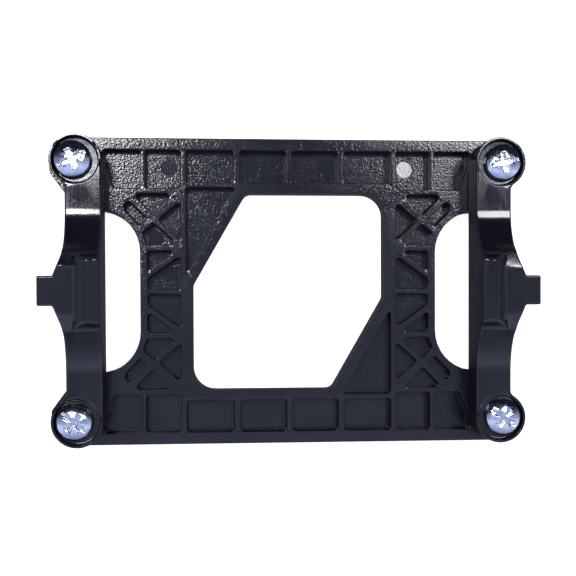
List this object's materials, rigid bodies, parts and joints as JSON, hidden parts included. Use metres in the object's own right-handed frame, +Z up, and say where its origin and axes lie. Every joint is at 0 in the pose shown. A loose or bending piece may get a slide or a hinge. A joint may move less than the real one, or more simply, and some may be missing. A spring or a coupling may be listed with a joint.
{
  "type": "processor cooler mounting set",
  "caption": "Ribbed backplate with threaded inserts, a pair of retention brackets with clip lugs, and the screws that hold them, for a desktop processor socket.",
  "frame": {"origin": "middle of the backplate's underside", "axes": "+X along the wide hole spacing, from the left bracket to the right one; +Y along the narrow hole spacing, towards the rear; +Z up, from the backplate to the brackets"},
  "size_m": [0.1032, 0.0654, 0.0195],
  "materials": {
    "backplate_plastic": "near-black glass-filled plastic with a fine spark-eroded grain",
    "bracket_plastic": "near-black satin moulded plastic",
    "screw_zinc": "bright blue-white zinc plating",
    "insert_steel": "turned steel, lightly oiled"
  },
  "bodies": {
    "base": {"backplate": "backplate_plastic", "threaded_insert_rear_left": "insert_steel", "threaded_insert_rear_right": "insert_steel", "threaded_insert_front_left": "insert_steel", "threaded_insert_front_right": "insert_steel"},
    "left_bracket": {"bracket_left": "bracket_plastic"},
    "right_bracket": {"bracket_right": "bracket_plastic"},
    "rear_left_screw": {"screw_rear_left": "screw_zinc"},
    "rear_right_screw": {"screw_rear_right": "screw_zinc"},
    "front_left_screw": {"screw_front_left": "screw_zinc"},
    "front_right_screw": {"screw_front_right": "screw_zinc"}
  },
  "joints": [
    {"name": "left_bracket_lift", "type": "slide", "parent": "base", "child": "left_bracket", "axis": [0, 0, 1], "range_m": [0, 0.025]},
    {"name": "right_bracket_lift", "type": "slide", "parent": "base", "child": "right_bracket", "axis": [0, 0, 1], "range_m": [0, 0.025]},
    {"name": "rear_left_screw_travel", "type": "slide", "parent": "left_bracket", "child": "rear_left_screw", "axis": [0, 0, 1], "range_m": [0, 0.009]},
    {"name": "front_left_screw_travel", "type": "slide", "parent": "left_bracket", "child": "front_left_screw", "axis": [0, 0, 1], "range_m": [0, 0.009]},
    {"name": "rear_right_screw_travel", "type": "slide", "parent": "right_bracket", "child": "rear_right_screw", "axis": [0, 0, 1], "range_m": [0, 0.009]},
    {"name": "front_right_screw_travel", "type": "slide", "parent": "right_bracket", "child": "front_right_screw", "axis": [0, 0, 1], "range_m": [0, 0.009]}
  ]
}
